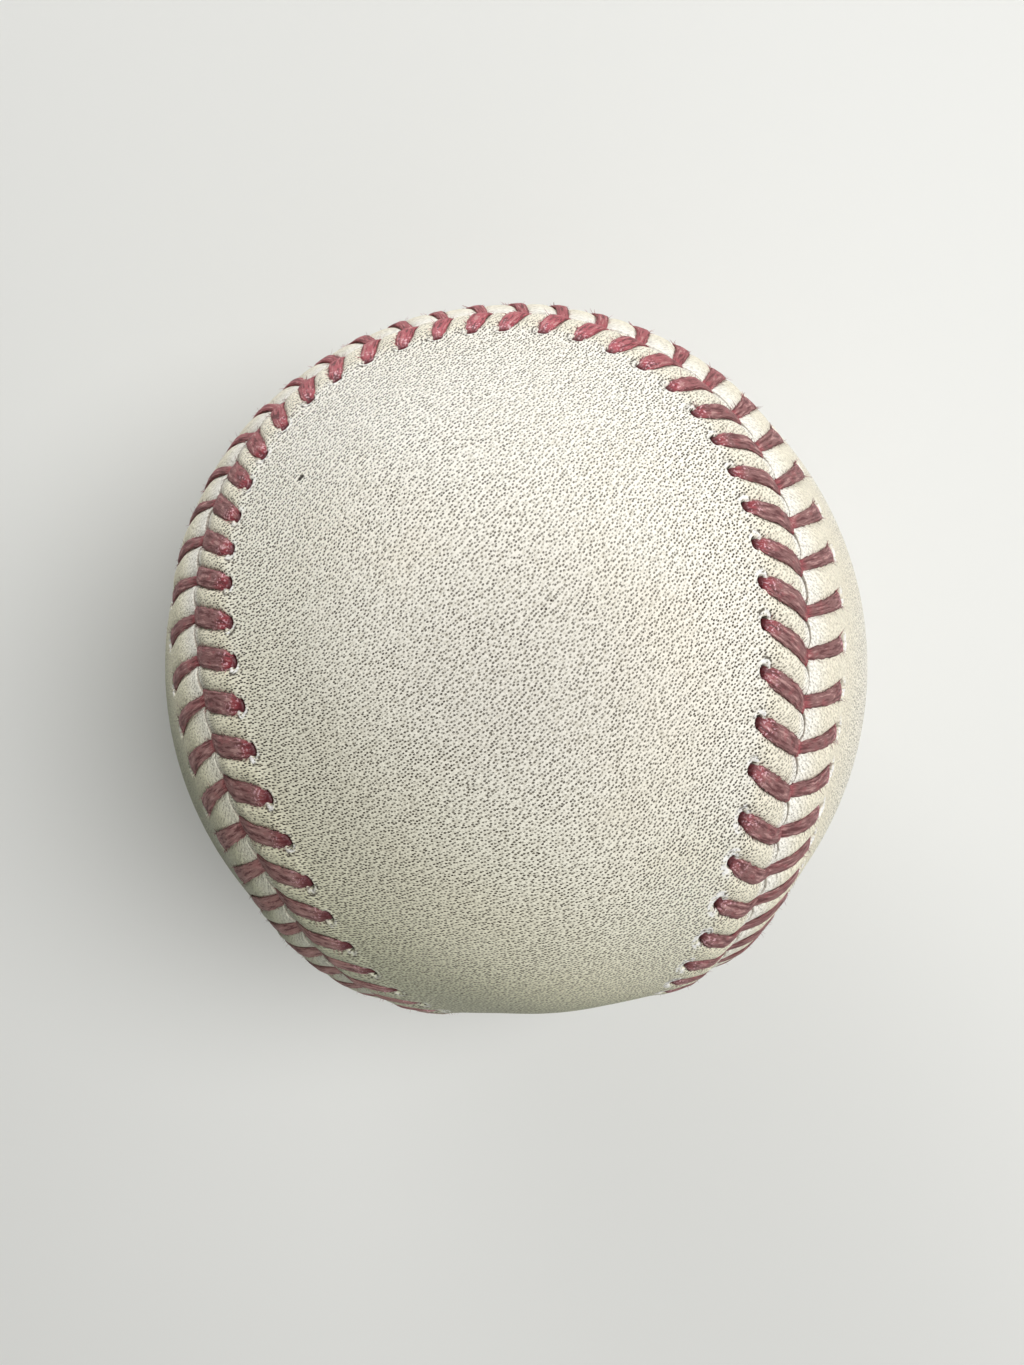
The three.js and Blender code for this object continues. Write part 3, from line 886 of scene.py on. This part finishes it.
# Small dark marks on the front panel: place and radius. Each is darkest up to a share of its radius
MARKS = (
    ((-14.28, 19.36, 28.36), 0.26), ((-14.48, 19.19, 28.36), 0.26), ((4.60, 5.35, 36.50), 0.1),
    ((4.95, 5.31, 36.45), 0.11), ((5.43, 5.92, 36.30), 0.12), ((2.72, 2.91, 36.96), 0.11),
    ((14.48, 4.16, 33.98), 0.12),
)
MARK_CORE = 0.7

# Thread: its dyed depth, what dust, wear and dirt make of it, a brighter crimson near the ball's top,
# painted light on the lower left, a painted glint and painted shade at its tips
DYED = (0.325, 0.043, 0.059)
DUSTY = (0.232, 0.11, 0.107)
TOP_CRIMSON = (0.54, 0.09, 0.122)
LOWER_LEFT_LIGHT = (0.43, 0.25, 0.22)
BETWEEN_FIBRES = (0.10, 0.03, 0.032)
FRAYED = (0.55, 0.32, 0.30)
PAINTED_GLINT = (0.84, 0.5, 0.55)
TIP_SHADE = (0.08, 0.008, 0.013)
SHEEN = (0.9, 0.5, 0.5, 1)

# The hidden layers: bright and shaded parts, and for the cork its two tints and the gaps between crumbs
WHITE_YARN = ((0.78, 0.75, 0.67), (0.5, 0.47, 0.4))
GREY_YARN = ((0.36, 0.35, 0.33), (0.17, 0.165, 0.155))
RED_RUBBER = ((0.33, 0.03, 0.02), (0.22, 0.018, 0.012))
BLACK_RUBBER = ((0.022, 0.021, 0.02), (0.012, 0.012, 0.011))
CORK_TINTS = ((0.36, 0.2, 0.09), (0.55, 0.34, 0.17))
CORK_GAPS = (0.2, 0.11, 0.05)

# Yarn wound one way and then over it another: size of a strand and turn
YARN_WINDS = (((4.0, 0.45, 1.1), (0.5, 0.3, 0.8)), ((0.5, 3.3, 1.2), (1.1, 0.2, 0.4)))


def leather_grain(shader):
    """Pores and fine streaks, laid out from the round end that is nearer."""
    pits, streaks = [], []
    for end in ("grain_far", "grain_near"):
        hide = shader.attribute(end, "Vector")
        pits.append(shader.strokes(hide, PORE_SPACING, PORE_HALF_SIZE))
        streaks.append(shader.noise(shader.place(STREAK_SIZE, spot=hide), 1.0, 1.0, 0.6))
    height = shader.axis(shader.attribute("grain_near", "Vector"), 2)
    near = shader.step(height, *ENDS_MEET, unit=MM)
    return shader.between(near, *pits), shader.between(near, *streaks)


def leather_tone(shader, spot, patch, low, sunk):
    """The broad colours of the hide: patchy, paler on top, stained at the seam, soiled below with a
    painted green reflection, with painted shade below, at the left edge and in the middle, and a bleached
    edge with a painted highlight.
    """
    patches = shader.step(patch, 0.42, 0.68, 0.0, 0.6)
    colour = shader.blend(patches, CREAM, TAN)
    on_top = shader.step(sunk, -26, -8, 0.5, 0.0, MM)
    colour = shader.blend(on_top, colour, PALE)
    stains = shader.times(shader.attribute("stained"), 0.7)
    colour = shader.blend(stains, colour, HANDLED)
    # Soiled towards the ground, with a painted green reflection in its yellow-green tint
    soil_and_bounce = shader.step(low, -0.5, 0.6)
    colour = shader.blend(soil_and_bounce, colour, SOILED_AND_GREEN_BOUNCE)
    # Painted shade towards the ground, tinted green
    shaded_ground = shader.step(low, 0.12, 0.42, 0.0, 0.92)
    colour = shader.blend(shaded_ground, colour, GROUND_SHADE)
    # Painted shade along the ball's left edge, tinted green
    shaded_left_edge = shader.step(shader.along(spot, LEFT), 29, 34, 0.0, 0.5, MM)
    colour = shader.blend(shaded_left_edge, colour, LEFT_EDGE_SHADE)
    # Painted shade that darkens the front panel's middle
    darkened_middle = shader.step(shader.apart(spot, MIDDLE_SHADE_PLACE), 2, 15, 0.95, 0.0, MM)
    colour = shader.blend(darkened_middle, colour, MIDDLE_SHADE)
    # Bleached bare edge by the slit, brightened further as a painted highlight
    bare_and_lit = shader.times(shader.attribute("bare_and_lit"), shader.step(low, -0.1, 0.25, 0.85, 0.4))
    return shader.blend(bare_and_lit, colour, BLEACHED_AND_LIT)


def leather_pores(shader, colour, pit, streak, blotch, low, lower_right, upper_left):
    """The colour with dark pores that hold dirt, deeper towards the upper left and, as painted shade of
    light grazing their relief, towards the ground and the lower right, and with fine streaks over it.
    """
    depth = shader.times(
        pit,
        shader.step(blotch, 0.3, 0.7, 0.9, 1.05),
        shader.attribute("pores"),
        # Painted shade: darker pores towards the ground and the lower right
        shader.step(low, -0.6, 0.4, 0.95, 1.2),
        shader.step(lower_right, 14, 22, 1.0, 1.25, MM),
        shader.step(upper_left, 10, 22, 1.0, 1.18, MM),
    )
    colour = shader.blend(depth, colour, PORE)
    streaks = shader.step(streak, 0.46, 0.68, 0.0, 0.36)
    return shader.blend(streaks, colour, STREAK)


def leather_marks(shader, colour, spot):
    """The colour with the small dark marks."""
    for place, radius in MARKS:
        inside = shader.step(shader.apart(spot, place), MARK_CORE * radius, radius, 1.0, 0.0, MM)
        colour = shader.blend(inside, colour, MARK)
    return colour


def leather_rims(shader, colour, hole, reach, low, sunk, lower_right, upper_left):
    """The colour with the holes: pale torn rims, dark crescents behind them and the dark inside."""
    torn_side = shader.attribute("torn_side")
    ragged = shader.math(
        "MAXIMUM",
        shader.step(lower_right, 16, 25, unit=MM),
        shader.step(upper_left, 22, 28, 0.0, 0.5, MM),
    )
    broadened = shader.times(hole, shader.step(ragged, 0.0, 1.0, 0.84, 0.64))
    ring = shader.times(shader.step(hole, 1.0, 1.12), shader.step(broadened, 1.3, 1.55, 1.0, 0.0))
    outward = shader.step(reach, HOLE_REACH, HOLE_REACH + 0.5)
    outward = shader.times(outward, shader.step(ragged, 0.0, 1.0, 0.2, 1.0))
    behind = shader.times(
        shader.step(torn_side, 0.2, 0.7),
        shader.step(sunk, -26, -6, 0.3, 1.0, MM),
        shader.step(low, 0.05, 0.3, 1.0, 0.35),
    )
    broken = shader.step(shader.noise(shader.place(), 2.4, 3.0), 0.4, 0.52)
    rim = shader.times(ring, shader.math("MAXIMUM", outward, behind), broken, 0.95)
    colour = shader.blend(rim, colour, TORN)
    crescent = shader.times(
        shader.step(hole, 1.5, 1.7),
        shader.step(hole, 1.85, 2.15, 1.0, 0.0),
        shader.step(torn_side, 0.1, 0.7),
        shader.step(shader.noise(shader.place(), 0.9, 3.0), 0.36, 0.5),
        shader.step(shader.noise(shader.place(), 3.2, 3.0), 0.42, 0.58),
    )
    colour = shader.blend(crescent, colour, CRESCENT)
    inside = shader.step(hole, 0.75, 1.05, 0.96, 0.0)
    return shader.blend(inside, colour, HOLE_SHADE)


def leather_seam(shader, colour, spot, reach):
    """The colour with shade beside the legs and painted shade along the slit, thicker towards the ball's
    sides.
    """
    beside = shader.step(shader.attribute("leg_gap"), -0.02, 0.18, 1.0, 0.0)
    laced = shader.step(reach, 4.9, 5.9, 1.0, 0.0)
    colour = shader.blend(shader.times(beside, laced, 0.3), colour, LEG_SHADE)
    aside = shader.math("ABSOLUTE", shader.axis(spot, 0))
    # Painted shade in the slit
    shaded_slit = shader.times(
        shader.step(reach, 0.0, 0.05, 1.0, 0.0),
        shader.step(aside, 16, 27, 0.15, 0.65, MM),
    )
    return shader.blend(shaded_slit, colour, SLIT_SHADE)


def leather_material():
    shader = Shader("worn_leather", Specular_IOR_Level=0.3)
    pit, streak = leather_grain(shader)
    patch = shader.noise(shader.place(PATCH_SIZE), 1.0, 3.0)
    blotch = shader.noise(shader.place(BLOTCH_SIZE), 1.0, 2.0)
    reach = shader.attribute("reach")
    hole = shader.attribute("hole")
    spot = shader.spot()
    low = shader.along(spot, GROUNDWARD)
    sunk = shader.along(spot, DOWN)
    lower_right = shader.along(spot, LOWER_RIGHT)
    upper_left = shader.along(spot, UPPER_LEFT)

    colour = leather_tone(shader, spot, patch, low, sunk)
    colour = leather_pores(shader, colour, pit, streak, blotch, low, lower_right, upper_left)
    colour = leather_marks(shader, colour, spot)
    colour = leather_rims(shader, colour, hole, reach, low, sunk, lower_right, upper_left)
    colour = leather_seam(shader, colour, spot, reach)
    shader.set("Base Color", colour)

    height = shader.math("SUBTRACT", shader.times(streak, -1.0), shader.times(pit, 0.6))
    shader.set("Normal", shader.bump(height, 1.0, 0.1))
    shader.set("Roughness", shader.step(patch, 0.35, 0.7, 0.55, 0.68))
    return shader.material


def thread_material():
    shader = Shader("waxed_thread", Specular_IOR_Level=0.4, Sheen_Weight=0.1, Sheen_Roughness=0.4,
                    Sheen_Tint=SHEEN)
    share = shader.attribute("leg_share")
    strand = {0: shader.times(shader.attribute("along_leg"), 0.3), 1: shader.attribute("round_leg")}
    fibre = shader.noise(shader.node("ShaderNodeCombineXYZ", 0, strand), 2.2, 4.0, 0.65)
    cloud = shader.noise(shader.place(), 1.3, 3.0)
    fleck = shader.noise(shader.place(), 4.2, 2.0)
    spot = shader.spot()
    height = shader.axis(spot, 1)
    forward = shader.axis(spot, 2)

    ends = shader.math("MAXIMUM", shader.step(share, 0.76, 1.0), shader.step(share, 0.2, 0.03, 0.0, 0.7))
    ends = shader.times(ends, shader.step(height, -24, -8, 0.3, 1.0, MM))
    worn = shader.times(
        shader.step(shader.attribute("crest"), -0.8, 0.2),
        shader.step(ends, 0.0, 1.0, 1.0, 0.1),
        shader.step(cloud, 0.3, 0.5, 0.65, 1.0),
        shader.step(height, 18, 34, 1.0, 0.7, MM),
    )
    colour = shader.blend(worn, DYED, DUSTY)
    # Brighter crimson towards the ball's top
    crimson_top = shader.times(
        shader.step(height, 18, 34, unit=MM),
        shader.step(forward, 12, 18, 0.25, 0.65, MM),
        shader.step(share, 0.2, 0.85, 0.55, 1.1),
    )
    colour = shader.blend(crimson_top, colour, TOP_CRIMSON)
    # Painted light that brightens the legs on the lower left
    lit_lower_left = shader.step(shader.along(spot, LOWER_LEFT), 12, 34, 0.0, 0.65, MM)
    colour = shader.blend(lit_lower_left, colour, LOWER_LEFT_LIGHT)
    gaps = shader.step(fibre, 0.5, 0.6, 0.0, 0.85)
    colour = shader.blend(gaps, colour, BETWEEN_FIBRES)
    frayed = shader.step(fibre, 0.46, 0.37, 0.0, 0.65)
    colour = shader.blend(frayed, colour, FRAYED)
    # Painted glint at the hole ends
    painted_glint_share = shader.times(shader.step(fleck, 0.55, 0.64), shader.step(share, 0.7, 0.9), 0.75)
    colour = shader.blend(painted_glint_share, colour, PAINTED_GLINT)
    # Painted shade where the tips go down into their holes
    tip = shader.math("ADD", share, shader.step(shader.along(spot, LEFT), 20, 26, 0.0, 0.12, MM))
    shaded_tip = shader.step(tip, 0.91, 1.06, 0.0, 0.9)
    colour = shader.blend(shaded_tip, colour, TIP_SHADE)
    shader.set("Base Color", colour)
    shader.set("Roughness", shader.step(worn, 0.0, 1.0, 0.4, 0.8))
    shader.set("Normal", shader.bump(fibre, 0.9, 0.16))
    return shader.material


def yarn_material(name, bright, shade):
    shader = Shader(name, Roughness=0.95, Specular_IOR_Level=0.2)
    winds = [shader.noise(shader.place(size, turn), 1.0, 4.0) for size, turn in YARN_WINDS]
    strand = shader.math("MAXIMUM", *winds)
    shader.set("Base Color", shader.blend(shader.step(strand, 0.45, 0.7), shade, bright))
    shader.set("Normal", shader.bump(strand, 0.8, 0.5))
    return shader.material


def rubber_material(name, bright, shade):
    shader = Shader(name, Roughness=0.7, Specular_IOR_Level=0.4)
    bloom = shader.noise(shader.place(), 0.8, 4.0)
    shader.set("Base Color", shader.blend(shader.step(bloom, 0.35, 0.7), shade, bright))
    shader.set("Normal", shader.bump(shader.noise(shader.place(), 6.0, 3.0), 0.2, 0.05))
    return shader.material


def cork_material():
    shader = Shader("cork_composition", Roughness=0.9, Specular_IOR_Level=0.2)
    crumbs = shader.cells(shader.place(), 0.8)
    tint = shader.noise(shader.place(), 1.2, 4.0)
    colour = shader.blend(tint, *CORK_TINTS)
    shader.set("Base Color", shader.blend(shader.step(crumbs, 0.2, 0.6), CORK_GAPS, colour))
    shader.set("Normal", shader.bump(crumbs, 0.5, 0.3))
    return shader.material


# The ball

def dress(nodes, material):
    """Gives carried-over CAD nodes a finish."""
    for name in nodes:
        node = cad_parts[name]
        node.data.materials.clear()
        node.data.materials.append(material)


leather = leather_material()
thread = thread_material()
cover_panel("leather_panel_front", "cover_panel_front", FRONT, -FIRST_STITCH, leather)
cover_panel("leather_panel_back", "cover_panel_back", BACK, STITCHES / 4 - FIRST_STITCH, leather)
seam_thread("lacing_first", "seam_thread_first", FRONT, thread)
seam_thread("lacing_second", "seam_thread_second", BACK, thread)

white_yarn = yarn_material("white_yarn", *WHITE_YARN)
grey_yarn = yarn_material("grey_yarn", *GREY_YARN)
red_rubber = rubber_material("red_rubber", *RED_RUBBER)
black_rubber = rubber_material("black_rubber", *BLACK_RUBBER)
dress(["finish_winding"], white_yarn)
dress(["wool_winding_second"], white_yarn)
dress(["wool_winding_first", "wool_winding_third"], grey_yarn)
dress(["red_rubber_half_upper", "red_rubber_half_lower", "rubber_washer"], red_rubber)
dress(["black_rubber_cup_upper", "black_rubber_cup_lower"], black_rubber)
dress(["cork_core"], cork_material())


# Stage, light and camera

FLOOR_HALF = 3000.0
FLOOR_COLOUR = (0.78, 0.78, 0.76, 1)
SKY_COLOUR = (0.97, 1.0, 0.84, 1)
SKY_STRENGTH = 0.078

# Lamps: name, place and watts
LAMP_SIZE = 420.0
LAMPS = (
    ("key_light", (325, 45, 562), 3.93),
    ("top_light", (-169, 617, 97), 2.83),
    ("side_light", (560, 60, 60), 0.75),
    ("fill_light", (40, -380, 420), 0.34),
)


def floor():
    corners = [(-1, -1, 0), (1, -1, 0), (1, 1, 0), (-1, 1, 0)]
    mesh = bpy.data.meshes.new("floor")
    mesh.from_pydata((np.array(corners) * FLOOR_HALF * MM).tolist(), [], [(0, 1, 2, 3)])
    plain = Shader("floor", Base_Color=FLOOR_COLOUR, Roughness=0.9, Specular_IOR_Level=0.1)
    mesh.materials.append(plain.material)
    ground = new_object("floor", mesh)
    ground.location.z = -COVER_RADIUS * MM


def area_light(name, place, watts):
    """A round lamp that faces the ball."""
    lamp = bpy.data.lights.new(name, "AREA")
    lamp.shape = "DISK"
    lamp.size = LAMP_SIZE * MM
    lamp.energy = watts
    holder = new_object(name, lamp)
    holder.location = Vector(place) * MM
    holder.rotation_euler = (-Vector(place)).to_track_quat("-Z", "Y").to_euler()


def sky():
    world = bpy.data.worlds.new("studio")
    world.use_nodes = True
    background = world.node_tree.nodes["Background"]
    background.inputs["Color"].default_value = SKY_COLOUR
    background.inputs["Strength"].default_value = SKY_STRENGTH
    bpy.context.scene.world = world


def photo_camera():
    lens = bpy.data.cameras.new("camera")
    lens.sensor_width = SENSOR_WIDTH
    lens.lens = FOCAL_PX / PHOTO_HEIGHT_PX * SENSOR_WIDTH
    lens.clip_start = NEAREST_SEEN * MM
    holder = new_object("camera", lens)
    forward = Vector(CAMERA_FORWARD).normalized()
    right = forward.cross(Vector(CAMERA_UP)).normalized()
    up = right.cross(forward)
    turn = Matrix((right, up, -forward)).transposed().to_4x4()
    holder.matrix_world = Matrix.Translation(Vector(CAMERA_PLACE) * MM) @ turn
    bpy.context.scene.camera = holder


floor()
for lamp in LAMPS:
    area_light(*lamp)
sky()
bpy.context.scene.view_settings.view_transform = "Standard"
photo_camera()
